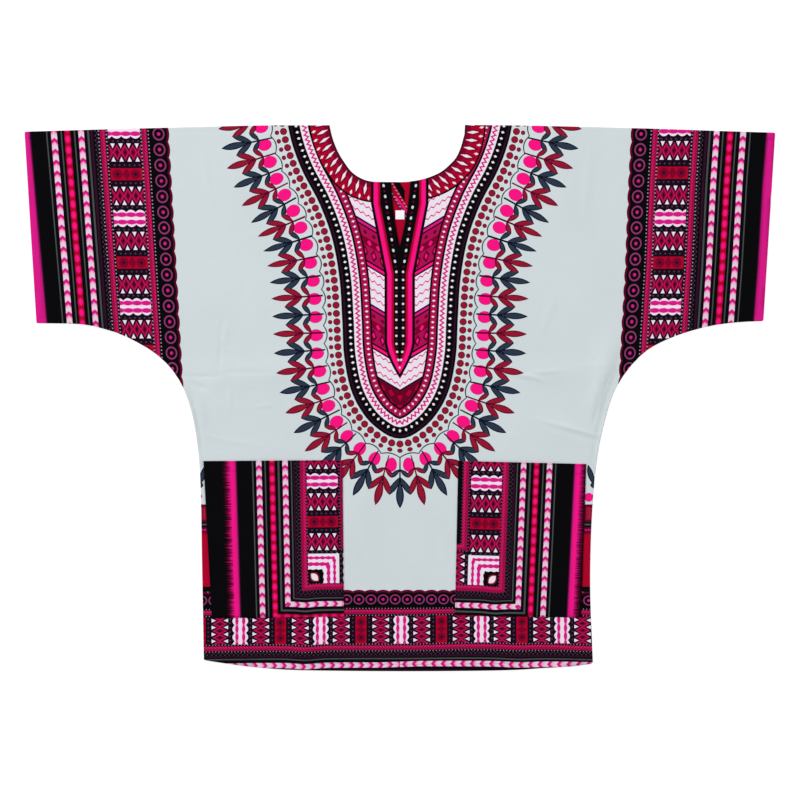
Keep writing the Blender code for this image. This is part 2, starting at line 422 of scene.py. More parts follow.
def chevrons(cloth, along, across, low, high, pitch, phase):
    """White cloth with magenta arrowheads, each fading into the white behind it."""
    q = abs(across - (low + high) / 2)
    t = (along - q * 0.8).part(pitch, phase)
    arrow = cloth.ramp(t, ARROWHEAD, "LINEAR")
    cloth.paint(across.between(low, high), arrow)


def beaded_cord(cloth, along, across, low, high, pitch, phase):
    """A crimson cord with hot pink beads down it."""
    near = along.repeat(pitch, phase) / (pitch / 2)
    side = abs(across - (low + high) / 2) / ((high - low) / 2)
    bead = (near * near + side * side * 0.9).root()
    cord = cloth.ramp(bead, BEAD, "EASE")
    cloth.paint(side < 1 - near * near * 0.16, cord)


def checker(cloth, along, across, low, high, pitch):
    """Tiny staggered squares, two rows deep."""
    p = along.wave(pitch)
    q = (across - low).wave(high - low)
    cloth.paint(across.between(low, high) * (p * q > 0.32), "dusk")


def hatched_band(cloth, along, across, low, high):
    """A crimson band, brighter down one side and hatched with dark slanting lines."""
    cloth.paint(across.between(low, high), "crimson")
    cloth.paint(across.between(low + 0.8, low * 0.5 + high * 0.5), "cerise")
    cloth.paint(((along + across * 1.1).part(4.4) < 0.38) * across.between(low + 0.6, high - 0.6), "garnet")


def rings(cloth, along, across, middle, pitch, phase, radius, stroke):
    """Plain rings, a little taller than wide, each with a bead in its middle."""
    p = along.repeat(pitch, phase) * 0.92
    q = across - middle
    from_centre = (p * p + q * q).root()
    cloth.paint(from_centre.between(radius - stroke, radius), "mauve")
    cloth.paint(from_centre < radius * 0.27, "magenta")


def scalloped_edge(cloth, along, across, pitch, phase, depth, width):
    """The border's wavy edge: the ground shows outside it and a wine line runs along it."""
    p = along.repeat(pitch, phase) / (pitch / 2)
    edge = p * p * depth
    cloth.paint(across < edge + width, "wine")
    cloth.paint(across < edge, "pale")


def soft_pink(cloth, across, start, end, colour):
    """A pink stripe whose inner edge melts into the black."""
    t = (across - start) / (end - start)
    blend = cloth.ramp(t, [(0.0, "black"), (0.2, "plum"), (0.55, "magenta"), (1.0, colour)], "LINEAR")
    cloth.paint(across > start, blend)


def ragged_pink(cloth, across, edge, reach):
    """Pink that frays into the black in short streaks, with black beyond."""
    streaks = cloth.noise(1.0, 3.0, (26.0, 700.0, 1.0))
    fade = (edge - across) / reach * 1.7 + (streaks - 0.5) * 2.4 + 1.0
    blend = cloth.ramp(fade, [(0.0, "black"), (0.5, "wine"), (1.0, "magenta")], "LINEAR")
    cloth.paint(across > edge, blend)


LADDER_COLUMNS = 4
# The ladder's rows, in half periods from the middle of a red block.
RED_BLOCK = 0.134               # half of its height
LADDER_BANDS = [(0.0, "red"), (RED_BLOCK, "night"), (0.396, "garnet"), (0.587, "night")]
LADDER_LOZENGES = 0.4915
LADDER_NEST = [(0.50, 0.185, "rose"), (0.33, 0.122, "garnet"), (0.15, 0.055, "night")]
DISC = [(0.0, "plum"), (0.17, "plum"), (0.28, "garnet"), (0.54, "garnet"), (0.7, "red")]


def ladder(cloth, along, across, low, high, half_period, red_at, pink=0.056):
    """The border's widest band: red blocks, teeth, lozenges and wavy pink and white rows."""
    pitch = (high - low) / LADDER_COLUMNS
    rung = along.repeat(2 * half_period, red_at) / half_period
    column = across.repeat(pitch, low + pitch / 2) / pitch
    border = cloth.colour
    cloth.colour = cloth.ramp(rung, LADDER_BANDS)
    # red block, with two discs
    side = abs(across - (low + high) / 2) - (high - low) * 0.28
    disc = (side * side + rung * rung * half_period ** 2).root() / pitch
    medal = cloth.ramp(disc, DISC, "LINEAR")
    cloth.paint((rung < RED_BLOCK) * (disc < 0.7), medal)
    cloth.paint(abs(across - (low + high) / 2) / (pitch * 0.5) + rung / RED_BLOCK < 1, "garnet")
    # dots on the two dark rows
    dark = abs(abs(rung - 0.475) - 0.272) * half_period
    dot = across.repeat(pitch * 0.625, low + pitch * 0.3)
    cloth.paint(dark * dark + dot * dot < (pitch * 0.12) ** 2, "dusk")
    # lozenges between the teeth
    row = abs(rung - LADDER_LOZENGES)
    between = 0.5 - column
    for half_width, half_height, shade in LADDER_NEST:
        cloth.paint(between / half_width + row / half_height < 1, shade)
    # white teeth, pointing at the lozenges
    tooth = column / 0.27 < (row - 0.096) / 0.106
    cloth.paint(tooth * (row < 0.205), "white")
    # wavy rows of white and pink
    wave = across.repeat(pitch * 1.17, low + pitch * 0.6) / (pitch * 0.585)
    from_white = 1 - rung
    cloth.paint(from_white < 0.194 - wave * wave * 0.056, "white")
    pink_row = abs(from_white - 0.084)
    cloth.paint((pink_row < pink - 0.006) * (wave > 0.5), "blush")
    cloth.paint(pink_row < pink - wave * wave * 0.034, "magenta")
    cloth.colour = cloth.mix(across.between(low, high), border, cloth.colour)


# Plain stripes of each border: where each starts, in millimetres outwards from the ground, and its colour.
SLEEVE_STRIPES = [
    (0, "black"), (113.6, "plum"), (117.6, "black"), (120.0, "grey"), (122.0, "black"), (140.3, "grey"),
    (142.3, "black"), (160.1, "grey"), (162.0, "black"), (181.3, "grey"), (183.3, "black"),
]
HEM_STRIPES = [
    (0, "black"), (98.4, "plum"), (100.7, "black"), (102.4, "grey"), (104.2, "black"), (119.5, "plum"),
    (124.0, "black"),
]
POCKET_STRIPES = [
    (0, "black"), (83.2, "plum"), (85.6, "black"), (87.6, "grey"), (89.8, "black"), (106.6, "grey"),
    (108.8, "black"), (127.0, "grey"), (129.2, "black"), (145.8, "grey"), (148.0, "black"),
]


def sleeve_print():
    """The border down each sleeve, from its ringed row to the pink at the cuff."""
    cloth = Cloth("sleeve_print", "black")
    along, across = (n * 1000 for n in cloth.uv("border"))
    right = cloth.place()[0] > 0
    cloth.colour = cloth.stripes(across, SLEEVE_STRIPES)
    rings(cloth, along, across, 17.1, 23.3, 3.0, 8.9, 2.1)
    scalloped_edge(cloth, along, across - 1.2, 23.3, 3.0, 2.4, 3.2)
    for low in (34.9, 96.6):
        hatched_band(cloth, along, across, low, low + 7.4)
    for middle in (32.4, 43.5, 94.6, 106.2):
        dots(cloth, along, across, middle, 5.44, 1.1, "silver", 4.0)
    raised = right * (150.0 - along).at_least(0.0) * 0.025 + along
    ladder(cloth, raised, across, 44.6, 92.4, 65.8, 62.9)
    checker(cloth, along, across, 107.6, 112.2, 7.2)
    moved = right * 3.2 + along
    chevrons(cloth, moved, across, 127.5, 136.0, 16.15, 6.2)
    beaded_cord(cloth, moved, across, 147.6, 157.1, 16.15, 10.8)
    chevrons(cloth, moved, across, 167.7, 176.5, 16.15, 9.1)
    soft_pink(cloth, across, 205.3, 214.5, "magenta")
    return cloth.finish()


def hem_print():
    """The border along the hem, the same to each side of the middle."""
    cloth = Cloth("hem_print", "black")
    along, across = (n * 1000 for n in cloth.uv("border"))
    along = abs(along)
    cloth.colour = cloth.stripes(across, HEM_STRIPES)
    rings(cloth, along, across, 15.9, 18.0, 9.0, 7.4, 1.7)
    scalloped_edge(cloth, along, across - 1.4, 18.0, 9.0, 2.2, 3.4)
    cloth.paint((across < 3.0) * (along > 258.0), "black")
    for low in (31.0, 84.4):
        hatched_band(cloth, along, across, low, low + 6.6)
    for middle in (29.2, 39.4, 82.6, 92.6):
        dots(cloth, along, across, middle, 4.76, 0.75, "silver")
    ladder(cloth, along, across, 40.7, 81.7, 59.9, 59.9, 0.044)
    checker(cloth, along, across, 93.8, 98.2, 6.6)
    x = cloth.place()[0]
    lifted = (x / 60.0 + 0.5).at_most(1.0).at_least(0.0) * 2.0
    chevrons(cloth, (x > 0) * -3.8 + along, lifted + across, 109.7, 117.5, 14.4, 12.0)
    return cloth.finish()


CORNER_LINES = [(0.0, "white"), (0.109, "magenta"), (0.203, "white"), (0.305, "magenta"), (0.423, "white"),
                (0.541, "black")]


def corner_block(cloth, down, out):
    """The square where the ladder turns its corner: nested angles of white and pink round a leaf."""
    size = 44.0
    nested = cloth.maths("SMOOTH_MIN", down, out, 7.0)
    scallop = (down - out).repeat(9.0, 2.0) * 0.28
    border = cloth.colour
    cloth.colour = cloth.ramp((nested + scallop) / size, CORNER_LINES)
    p = down - 34.5
    q = out - 37.0
    leaf = abs(p + q) / 6.4 + (p - q) * (p - q) / 110.0
    cloth.paint(leaf < 1.5, "brick")
    cloth.paint(leaf < 1, "white")
    cloth.colour = cloth.mix(down.between(0, size) * out.between(-1, 46.6), border, cloth.colour)


def pocket_print():
    """The border runs down each pocket and turns along its foot."""
    cloth = Cloth("pocket_print", "black")
    down, out = (n * 1000 for n in cloth.uv("border"))
    turned = down - POCKET_TURN
    turned = turned + (turned - 85.0).at_least(0.0) * 0.067
    flat = turned > out
    across = out.at_least(turned)
    along = down * (1 - flat) + out * flat
    cloth.colour = cloth.stripes(across, POCKET_STRIPES)
    for low in (7.4, 67.8):
        hatched_band(cloth, along, across, low, low + 8.2)
    for middle, shade in ((6.3, "dusk"), (77.6, "dusk"), (17.3, "mauve"), (66.8, "mauve")):
        dots(cloth, along, across, middle, 4.9, 1.1, shade)
    ladder(cloth, along, across, 19.4, 66.0, 60.5, 91.5)
    checker(cloth, along, across, 79.0, 83.0, 6.6)
    chevrons(cloth, along, across, 94.2, 102.4, 14.6, 6.1)
    beaded_cord(cloth, along, across, 113.8, 122.4, 14.6, 12.4)
    chevrons(cloth, along, across, 133.7, 141.9, 14.6, 6.1)
    moved = (cloth.place()[0] > 0) * -3.4 + across
    soft_pink(cloth, moved, 170.0, 178.0, "pink")
    ragged_pink(cloth, moved, 181.0, 17.0)
    corner_block(cloth, down - (POCKET_TURN + 22.8), out - 19.4)
    return cloth.finish()


# Rows beside the pockets, in millimetres down from their top.
SIDE_ROWS = [
    (0, "wine"), (28.0, "black"), (30.6, "grey"), (33.0, "black"), (36.0, "wine"), (43.0, "garnet"),
    (46.0, "red"), (125.0, "black"),
]
SIDE_REACH = 140.0


def side_print():
    """The ends of the printed rows, which show beside each pocket: a leaf, a disc and red blocks."""
    cloth = Cloth("side_print", "pale")
    x, y = cloth.place()
    right = x > 0
    across = right * 9.4 + abs(x)
    for middle, place, half_length in ((-114.0, 293.4, 15.0), (-130.0, 297.5, 5.0)):
        up = y - middle
        lobe = abs(up * 0.26 + across - place) / 4.6 + up * up / half_length ** 2
        cloth.paint(lobe < 1, "navy")
        cloth.paint(lobe < 0.62, "slate")
    dots(cloth, y, across, 297.0, 400.0, 2.6, "magenta", -146.0)
    for radius, shade in ((6.6, "magenta"), (5.4, "pink")):
        dots(cloth, y, right * across, 290.4, 400.0, radius, shade, -147.5)
    rows = cloth.stripes(-156.0 - y, SIDE_ROWS, SIDE_REACH)
    cloth.paint(y < -158.0, rows)
    cloth.paint(y.between(-181.0, -162.0) * across.between(286.0, 299.0), "brick")
    cloth.paint(y.between(-178.0, -164.0) * across.between(290.5, 292.0), "rose")
    dots(cloth, across, y, -196.0, 4.4, 1.6, "magenta")
    return cloth.finish()


# Bands just inside the yoke's edge, in millimetres out from a line that is YOKE_BANDS inside it.
YOKE_BANDS = 60.0
YOKE_REACH = 200.0
YOKE_STRIPES = [
    (0, "black"), (18.5, "crimson"), (28.0, "black"), (30.5, "white"), (42.5, "black"), (54.0, "plum"),
    (57.0, "black"), (60.0, "pale"),
]
FIELD_ROWS = [
    (0.0, "white"), (0.44, "black"), (0.462, "pink"), (0.50, "black"), (0.522, "crimson"), (0.70, "garnet"),
    (0.80, "crimson"), (0.92, "black"), (0.94, "magenta"), (0.975, "black"),
]
FIELD_PITCH = 118.0
FRINGE_BEADS = [(8.2, 5.3, "wine"), (8.2, 4.1, "brick"), (18.2, 3.3, "wine"), (18.2, 2.2, "brick")]
SPRIG_LEAVES = [(64.0, 40.0, 10.0, 0), (57.0, 35.0, 9.0, 29), (46.0, 23.0, 7.6, 52)]


def leaf(aside, out, start, length, width, turn):
    """How far inside a pointed leaf a place is, in millimetres. The leaf starts on the sprig's stem."""
    lean = math.radians(turn)
    up = out - start
    along = up * math.cos(lean) + aside * math.sin(lean)
    across = aside * math.cos(lean) - up * math.sin(lean)
    t = along / (length / 2) - 1
    return (1 - t * t) * (width / 2) - abs(across)


def yoke_fringe(cloth, run, out, turn):
    """Outside the yoke's edge: beads, discs between stems, and sprigs of leaves in two colours."""
    at = turn * 8.0 + run
    for middle, radius, shade in FRINGE_BEADS:
        dots(cloth, at, out, middle, 12.4, radius, shade)
    at = turn * 24.0 + run
    bow = at.repeat(27.0, 13.5) / 13.5
    cloth.paint(abs(out - 23.5 - bow * bow * 5.0) < 0.9, "slate")
    at = turn * 42.0 + run
    apart = at.repeat(27.0, 13.5)
    disc = (apart * apart * 1.15 + (out - 40.0) * (out - 40.0) * 0.80).root()
    cloth.paint(disc < 9.6, "magenta")
    cloth.paint(disc < 8.6, "pink")
    at = turn * 66.0 + run
    aside = at.repeat(27.0)
    second = (at / 54.0 + 0.25).fraction() > 0.5
    edge = cloth.mix(second, "navy", "wine")
    fill = cloth.mix(second, "slate", "brick")
    cloth.paint((aside < 1.3) * out.between(27.0, 68.0), edge)
    for sizes in SPRIG_LEAVES:
        inside = leaf(aside, out, *sizes)
        cloth.paint(inside > 0, edge)
        cloth.paint(inside > 1.5, fill)


def yoke_bands(cloth, run, out, turn):
    """Inside the yoke's edge: black with white lozenges, white with a zigzag, and crimson with dots."""
    bands = cloth.stripes(out + YOKE_BANDS, YOKE_STRIPES, YOKE_REACH)
    cloth.paint(out > -44.0, bands)
    lozenges(cloth, turn * -37.0 + run, out, -37.0, 8.0, 1.7, 2.6, "white")
    at = turn * -24.0 + run
    zigzag = at.repeat(7.0) * 1.5 - 2.6
    cloth.paint(abs(out + 23.5 - zigzag) < 2.0, "magenta")
    lozenges(cloth, turn * -11.5 + run, out, -11.5, 9.4, 2.1, 2.7, "white")


def yoke_field(cloth, x, y):
    """The middle of the yoke: nested rows, each a wide V."""
    slant = y - abs(x) * 0.6
    row = slant.part(FIELD_PITCH, -3.0)
    cloth.colour = cloth.ramp(row, FIELD_ROWS)
    height = row * FIELD_PITCH
    wave = abs(x).repeat(8.4)
    for middle in (8.0, 20.5, 33.0, 45.5):
        cloth.paint(abs(height - middle - wave * 0.9) < 1.0, "magenta")
    lozenges(cloth, abs(x), height, 73.0, 13.0, 5.0, 9.6, "wine")
    lozenges(cloth, abs(x), height, 73.0, 13.0, 2.4, 4.6, "pink")
    lozenges(cloth, abs(x), height, 88.5, 13.0, 3.6, 4.4, "pink", 6.5)
    dots(cloth, abs(x), height, 101.5, 13.0, 2.6, "wine")
    cloth.paint(slant < 13.0, "black")
    cloth.paint(slant < 10.5, "wine")
    for middle in (0.0, -14.0, -28.0):
        lozenges(cloth, abs(x), slant, middle, 13.0, 4.6, 5.0, "red")


PIPING = [(0.0, "black"), (0.10, "red"), (0.24, "red"), (0.48, "pink"), (0.90, "pink"), (1.0, "crimson")]


def yoke_print():
    """The yoke: a fringed tongue with bands along its edge, round the neck and down the slit."""
    cloth = Cloth("yoke_print", "pale")
    run, out = (n * 1000 for n in cloth.uv("yoke"))
    turn, neck = cloth.uv("turn")
    neck = neck * 1000
    x, y = cloth.place()
    yoke_field(cloth, x, y)
    yoke_bands(cloth, run, out, turn)
    yoke_fringe(cloth, run, out, turn)
    # round the neck
    cloth.paint(neck < 31.0, "black")
    cloth.paint(neck < 28.5, "red")
    around = (x - NECK_MIDDLE).angle_from(y - 420.0) * 105.0
    cloth.paint(neck < 9.0, "garnet")
    leaning = neck * 0.22 + around
    lozenges(cloth, leaning, neck, 14.0, 11.0, 4.3, 12.5, "garnet", 2.7)
    lozenges(cloth, leaning, neck, 12.5, 11.0, 2.1, 9.0, "white", 2.7)
    lozenges(cloth, leaning, neck, 25.0, 11.0, 1.6, 3.6, "white", 8.2)
    cloth.paint(neck < 1.7, "black")
    # down both sides of the slit and on below it
    aside = abs(x + 0.4)
    above = (y - 185.0).at_least(0.0).at_most(105.0)
    narrowed = ((85.0 - y).at_least(0.0) / 55.0).power(1.6) * 22.7
    slit = aside - above * 0.193 + narrowed
    cloth.paint(slit < 22.7, "black")
    piping = cloth.ramp((slit - 8.4) / 10.4, PIPING, "LINEAR")
    cloth.paint(slit < 18.8, piping)
    cloth.paint(slit < 8.4, "black")
    aside = aside - (y - 190.0).at_least(0.0) * 0.15 + narrowed * 0.4
    down = y - (y - 189.0).at_least(0.0) * 0.261
    lozenges(cloth, down, aside, 5.0, 11.9, 1.3, 2.0, "wine", 3.6)
    dots(cloth, down, aside, 5.0, 11.9, 1.8, "pale", 9.6)
    return cloth.finish()


def inside_print():
    """The back's inner side: it shows crimson, with a slanting dotted band, through the neck slit."""
    cloth = Cloth("inside_print", "pale")
    x, y = cloth.place()
    cloth.paint((abs(x) < 40.0) * (y > 200.0), "red")
    slanting = ((y - 318.0) * 0.6 + x + 2.0) * 0.86
    cloth.paint(slanting.between(-5.6, 3.4) * (x < 7.0 + (y > 308.0) * 9.0), "black")
    cloth.paint(slanting.between(-18.0, -12.6), "garnet")
    cloth.paint(abs((y - 298.5) * 0.76 + x + 5.4) < 1.7 - (y > 301.0) * 5.0, "pink")
    for middle in (-7.2, -15.0):
        dots(cloth, y, slanting, middle, 4.8, 1.15, "silver", 309.4)
    return cloth.finish()


# Geometry of the cloth.


def fold_lift(x, y, folds):
    """How far a table of folds lifts the cloth at places given in millimetres, in metres."""
    lift = np.zeros_like(x)
    for fold in folds:
        run = np.array((fold.x1 - fold.x0, fold.y1 - fold.y0), float)
        length = np.hypot(*run)
        t = ((x - fold.x0) * run[0] + (y - fold.y0) * run[1]) / length ** 2
        side = ((x - fold.x0) * run[1] - (y - fold.y0) * run[0]) / length / fold.width
        fade = np.clip(1 - (2 * t - 1) ** 2 * 0.72, 0, None)
        lift += fold.height * MM * np.exp(-side * side) * fade * fade
    return lift


def smooth_step(value):
    """A soft rise from 0 to 1 as a value goes from 0 to 1."""
    t = np.clip(value, 0, 1)
    return t * t * (3 - 2 * t)


def curved(t, start, end, leave, arrive):
    """A place part of the way between two points, on a curve that leaves and arrives in two directions."""
    return (start * (2 * t**3 - 3 * t**2 + 1) + end * (3 * t**2 - 2 * t**3)
            + leave * (t**3 - 2 * t**2 + t) + arrive * (t**3 - t**2))


def rounded(corners):
    """A closed outline with two more points on each side, curved except where it meets a sharp corner."""
    out = []
    count = len(corners)
    for i, here in enumerate(corners):
        before, after, beyond = corners[i - 1], corners[(i + 1) % count], corners[(i + 2) % count]
        run = after - here
        leave = (after - before) / 2 if (here - before).angle(run) < SHARP else run
        arrive = (beyond - here) / 2 if run.angle(beyond - after) < SHARP else run
        leave = leave.normalized() * run.length
        arrive = arrive.normalized() * run.length
        out += [here, *(curved(t, here, after, leave, arrive) for t in (1 / 3, 2 / 3))]
    return out


def flat_pattern(node):
    """The node's own outline as one flat face."""
    bm = bmesh.new()
    bm.from_mesh(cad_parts[node].data)
    bmesh.ops.remove_doubles(bm, verts=bm.verts[:], dist=1e-6)
    bm.normal_update()
    upper = [f for f in bm.faces if f.normal.z > -0.5]
    bmesh.ops.delete(bm, geom=upper, context="FACES")
    for v in bm.verts:
        v.co.z = 0
    whole = bmesh.ops.dissolve_faces(bm, faces=bm.faces[:], use_verts=False)["region"][0]
    outline = rounded([v.co.copy() for v in whole.verts])
    bm.clear()
    bm.faces.new([bm.verts.new(co) for co in outline])
    return bm


def plan(vertices):
    """Where vertices lie seen from above, in millimetres."""
    return np.array([v.co.xy[:] for v in vertices]) / MM


def cut(bm, place, direction, parts=None):
    """Cut a sheet, or some of its parts, along a line."""
    parts = parts or bm.verts[:] + bm.edges[:] + bm.faces[:]
    return bmesh.ops.bisect_plane(bm, geom=parts, dist=1e-5, plane_co=place, plane_no=direction)["geom"]


def cut_straight(bm, axis, where, parts=None):
    """Cut a sheet, or some of its parts, square to an axis."""
    place = Vector((0, 0, 0))
    place[axis] = where
    return cut(bm, place, Vector((1 - axis, axis, 0)), parts)


def cut_grid(bm, step):
    """Cut a flat sheet into squares, with one line up the middle."""
    for axis in (0, 1):
        low = min(v.co[axis] for v in bm.verts)
        high = max(v.co[axis] for v in bm.verts)
        for i in range(math.ceil(low / step), math.floor(high / step) + 1):
            cut_straight(bm, axis, i * step)


def refine(bm, near, step, rounds):
    """Halve the squares of a grid a number of times where a function of places, in millimetres, is true."""
    for _ in range(rounds):
        chosen = near(np.array([f.calc_center_median().xy[:] for f in bm.faces]) / MM)
        faces = [f for f, hit in zip(bm.faces, chosen) if hit]
        for axis in (0, 1):
            rows = {}
            for face in faces:
                rows.setdefault(math.floor(face.calc_center_median()[axis] / step), []).append(face)
            faces = []
            for row, members in rows.items():
                edges = {e for f in members for e in f.edges}
                verts = {v for e in edges for v in e.verts}
                parts = cut_straight(bm, axis, (row + 0.5) * step, [*verts, *edges, *members])
                faces += [part for part in parts if isinstance(part, bmesh.types.BMFace)]
        step /= 2


def distance_to(points, start, end):
    """Each point's distance from the nearest of some edges."""
    best = np.full(len(points), 1e9)
    for a, b in zip(start, end):
        run = b - a
        t = np.clip(((points - a) @ run) / max(run @ run, 1e-12), 0, 1)
        best = np.minimum(best, np.hypot(*(points - a - t[:, None] * run).T))
    return best


def near_crease(points):
    """Whether points are close enough to a crease to need a finer grid."""
    start = np.array([(f.x0, f.y0) for f in CREASES], float)
    end = np.array([(f.x1, f.y1) for f in CREASES], float)
    return distance_to(points, start, end) < CREASE_REACH


def outline_edges(bm):
    """The boundary edges of a flat sheet as two arrays of end points, in millimetres."""
    edges = [e for e in bm.edges if e.is_boundary]
    return plan(e.verts[0] for e in edges), plan(e.verts[1] for e in edges)


def at_hem(x, y):
    """Whether places on the outline are at the turned hems of the cuffs and the foot."""
    return (abs(x) > CUFF) | (y < FOOT)


def at_neck(x, y):
    """Whether places on the outline are at the neckline or the slit."""
    return (abs(x - NECK_MIDDLE) < NECK_HALF_WIDTH + 1) & (y > SLIT_FOOT)


def seams_and_hems(bm):
    """A panel's seams and its turned hems, each as two arrays of end points in millimetres."""
    start, end = outline_edges(bm)
    middle = ((start + end) / 2).T
    hems = at_hem(*middle)
    seams = ~(hems | at_neck(*middle))
    return (start[seams], end[seams]), (start[hems], end[hems])


def near_edge(points, lines):
    """Whether points are within reach of lines that run along some edges, each at a depth inside them."""
    near = np.zeros(len(points), bool)
    for start, end, depth, reach in lines:
        near |= abs(distance_to(points, start, end) - depth) < reach
    return near


def yoke_curve():
    """The right half of the yoke's edge as closely spaced points, in millimetres."""
    mirrored = Point(-YOKE_EDGE[1].x, YOKE_EDGE[1].y)
    last, before = YOKE_EDGE[-1], YOKE_EDGE[-2]
    knots = np.array([mirrored, *YOKE_EDGE, (2 * last.x - before.x, 2 * last.y - before.y)], float)
    return np.array([curved(t, b, c, (c - a) / 2, (d - b) / 2)
                     for a, b, c, d in zip(knots, knots[1:], knots[2:], knots[3:])
                     for t in np.arange(0, 1, 0.05)])


def yoke_frame(points):
    """For each point: distance along the yoke's edge, distance out from it and the edge's turn there."""
    curve = yoke_curve()
    runs = np.diff(curve, axis=0)
    lengths = np.hypot(*runs.T)
    begins = np.concatenate(([0], np.cumsum(lengths)[:-1]))
    normals = np.stack((runs[:, 1], -runs[:, 0]), axis=1) / lengths[:, None]
    mirrored = np.stack((abs(points[:, 0]), points[:, 1]), axis=1)
    best = np.full(len(points), 1e9)
    along = np.zeros(len(points))
    out = np.zeros(len(points))
    turn = np.zeros(len(points))
    for a, run, length, begin, normal in zip(curve, runs, lengths, begins, normals):
        t = np.clip(((mirrored - a) @ run) / length ** 2, 0, 1)
        away = mirrored - a - t[:, None] * run
        far = np.hypot(*away.T)
        side = np.where(away @ normal < 0, -1.0, 1.0)
        facing = np.where(far[:, None] > 1.5, away * side[:, None] / np.maximum(far, 1e-6)[:, None], normal)
        nearer = far < best
        best = np.where(nearer, far, best)
        along = np.where(nearer, begin + t * length, along)
        out = np.where(nearer, far * side, out)
        turn = np.where(nearer, np.arctan2(facing[:, 0], -facing[:, 1]), turn)
    return along, out, turn


def neck_distance(points):
    """Distance out from the neckline, leaving out the slit."""
    start, end = outline_edges(flat_pattern("back"))
    neck = np.ones(len(start), bool)
    for x, y in (start.T, end.T):
        neck &= (abs(x - NECK_MIDDLE) < NECK_HALF_WIDTH + 2) & (y > NECK_FOOT)
    return distance_to(points, start[neck], end[neck])


def hem_border(x, y):
    """Along and down the hem's border, in metres. The cloth there dips twice and is drawn up on the right."""
    dip = 2.0 * np.exp(-((x + 141) / 20) ** 2) + 1.2 * np.exp(-((x - 178) / 26) ** 2)
    rise = 2.5 * np.exp(-((x - 160) / 113) ** 4 - ((y + 350) / 38) ** 4)
    return (x - 1.8) * MM, (HEM_BORDER_TOP + rise - dip + 0.9 - 1.9 * (x / 290) ** 2 - y) * MM


def sleeve_border(x, y):
    """Down and out across a sleeve's border, in metres."""
    down = SLEEVE_BORDER_TOP - y
    inner = SLEEVE_BORDER_START - SLEEVE_BORDER_LEAN * down
    left, right = (width - narrowing * (down - 34) for width, narrowing in SLEEVE_WIDTHS)
    moved = (x > 0) * 2.3 * np.clip((down - 80) / 120, 0, 1)
    return down * MM, (abs(x) - inner - moved) / np.where(x < 0, left, right) * MM


def zone_of(x, y):
    """Which printed zone a face's middle lies in, in millimetres."""
    inner = SLEEVE_BORDER_START - SLEEVE_BORDER_LEAN * (SLEEVE_BORDER_TOP - y)
    if abs(x) > inner and y > SLEEVE_FOOT:
        return "sleeve"
    if y < HEM_ZONE_TOP:
        return "hem"
    if abs(x) > SIDE_STRIP and y < SIDE_STRIP_TOP:
        return "side"
    if abs(x) < YOKE_ZONE_HALF and y > YOKE_ZONE_FOOT:
        return "yoke"
    return "ground"


def cut_zones(bm):
    """Cut a panel along the edges of its printed zones, so that each face has one print."""
    for side in (-1, 1):
        start = Vector((side * SLEEVE_BORDER_START, SLEEVE_BORDER_TOP, 0)) * MM
        cut(bm, start, Vector((side, -SLEEVE_BORDER_LEAN, 0)))
        cut_straight(bm, 0, side * SIDE_STRIP * MM)
        cut_straight(bm, 0, side * YOKE_ZONE_HALF * MM)
    for height in (HEM_ZONE_TOP, SIDE_STRIP_TOP, YOKE_ZONE_FOOT):
        cut_straight(bm, 1, height * MM)


def write_uv(bm, name, values):
    """Write a UV map: the values are a function of a face and one of its vertices."""
    layer = bm.loops.layers.uv.new(name)
    for face in bm.faces:
        for loop in face.loops:
            loop[layer].uv = values(face, loop.vert)


def merge_close(bm):
    """Merge the vertices that cutting left very close together."""
    bmesh.ops.remove_doubles(bm, verts=bm.verts[:], dist=0.25 * MM)
    bm.verts.index_update()


def print_panel(bm):
    """Give each face of a panel its zone's material, and the UV maps that its print follows."""
    cut_zones(bm)
    merge_close(bm)
    points = plan(bm.verts)
    along, out, turn = yoke_frame(points)
    neck = neck_distance(points)
    sleeve, hem = (np.stack(border(*points.T), axis=1) for border in (sleeve_border, hem_border))
    for face in bm.faces:
        middle = face.calc_center_median() / MM
        face.material_index = ZONES.index(zone_of(middle.x, middle.y))
    in_hem = ZONES.index("hem")
    write_uv(bm, "border", lambda face, v: (hem if face.material_index == in_hem else sleeve)[v.index])
    write_uv(bm, "yoke", lambda face, v: (along[v.index] * MM, out[v.index] * MM))
    write_uv(bm, "turn", lambda face, v: (turn[v.index], neck[v.index] * MM))


def set_heights(bm, heights):
    """Give each vertex of a sheet its height, in metres."""
    for v, height in zip(bm.verts, heights):
        v.co.z = height


def add_object(bm, name, materials):
    """Turn a bmesh into a named object with some materials, and free it."""
    mesh = bpy.data.meshes.new(name)
    bm.to_mesh(mesh)
    bm.free()
    for material in materials:
        mesh.materials.append(material)
    mesh.shade_smooth()
    made = bpy.data.objects.new(name, mesh)
    bpy.context.scene.collection.objects.link(made)
    return made


def thick_piece(bm, name, materials, thickness, lower_materials=0):
    """Make a sheet into a closed cloth. Its underside may use materials that come later in the list."""
    bmesh.ops.triangulate(bm, faces=[f for f in bm.faces if len(f.verts) > 4])
    bm.normal_update()
    if sum(f.normal.z * f.calc_area() for f in bm.faces) < 0:
        bmesh.ops.reverse_faces(bm, faces=bm.faces[:])
    piece = add_object(bm, name, materials)
    wall = piece.modifiers.new("Thickness", "SOLIDIFY")
    wall.thickness = thickness
    wall.offset = 1
    wall.material_offset = lower_materials
    return piece


def lay_on_frame(piece, node):
    """Put a piece in the place of the solid that it stands for."""
    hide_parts(node)
    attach(piece, "root")


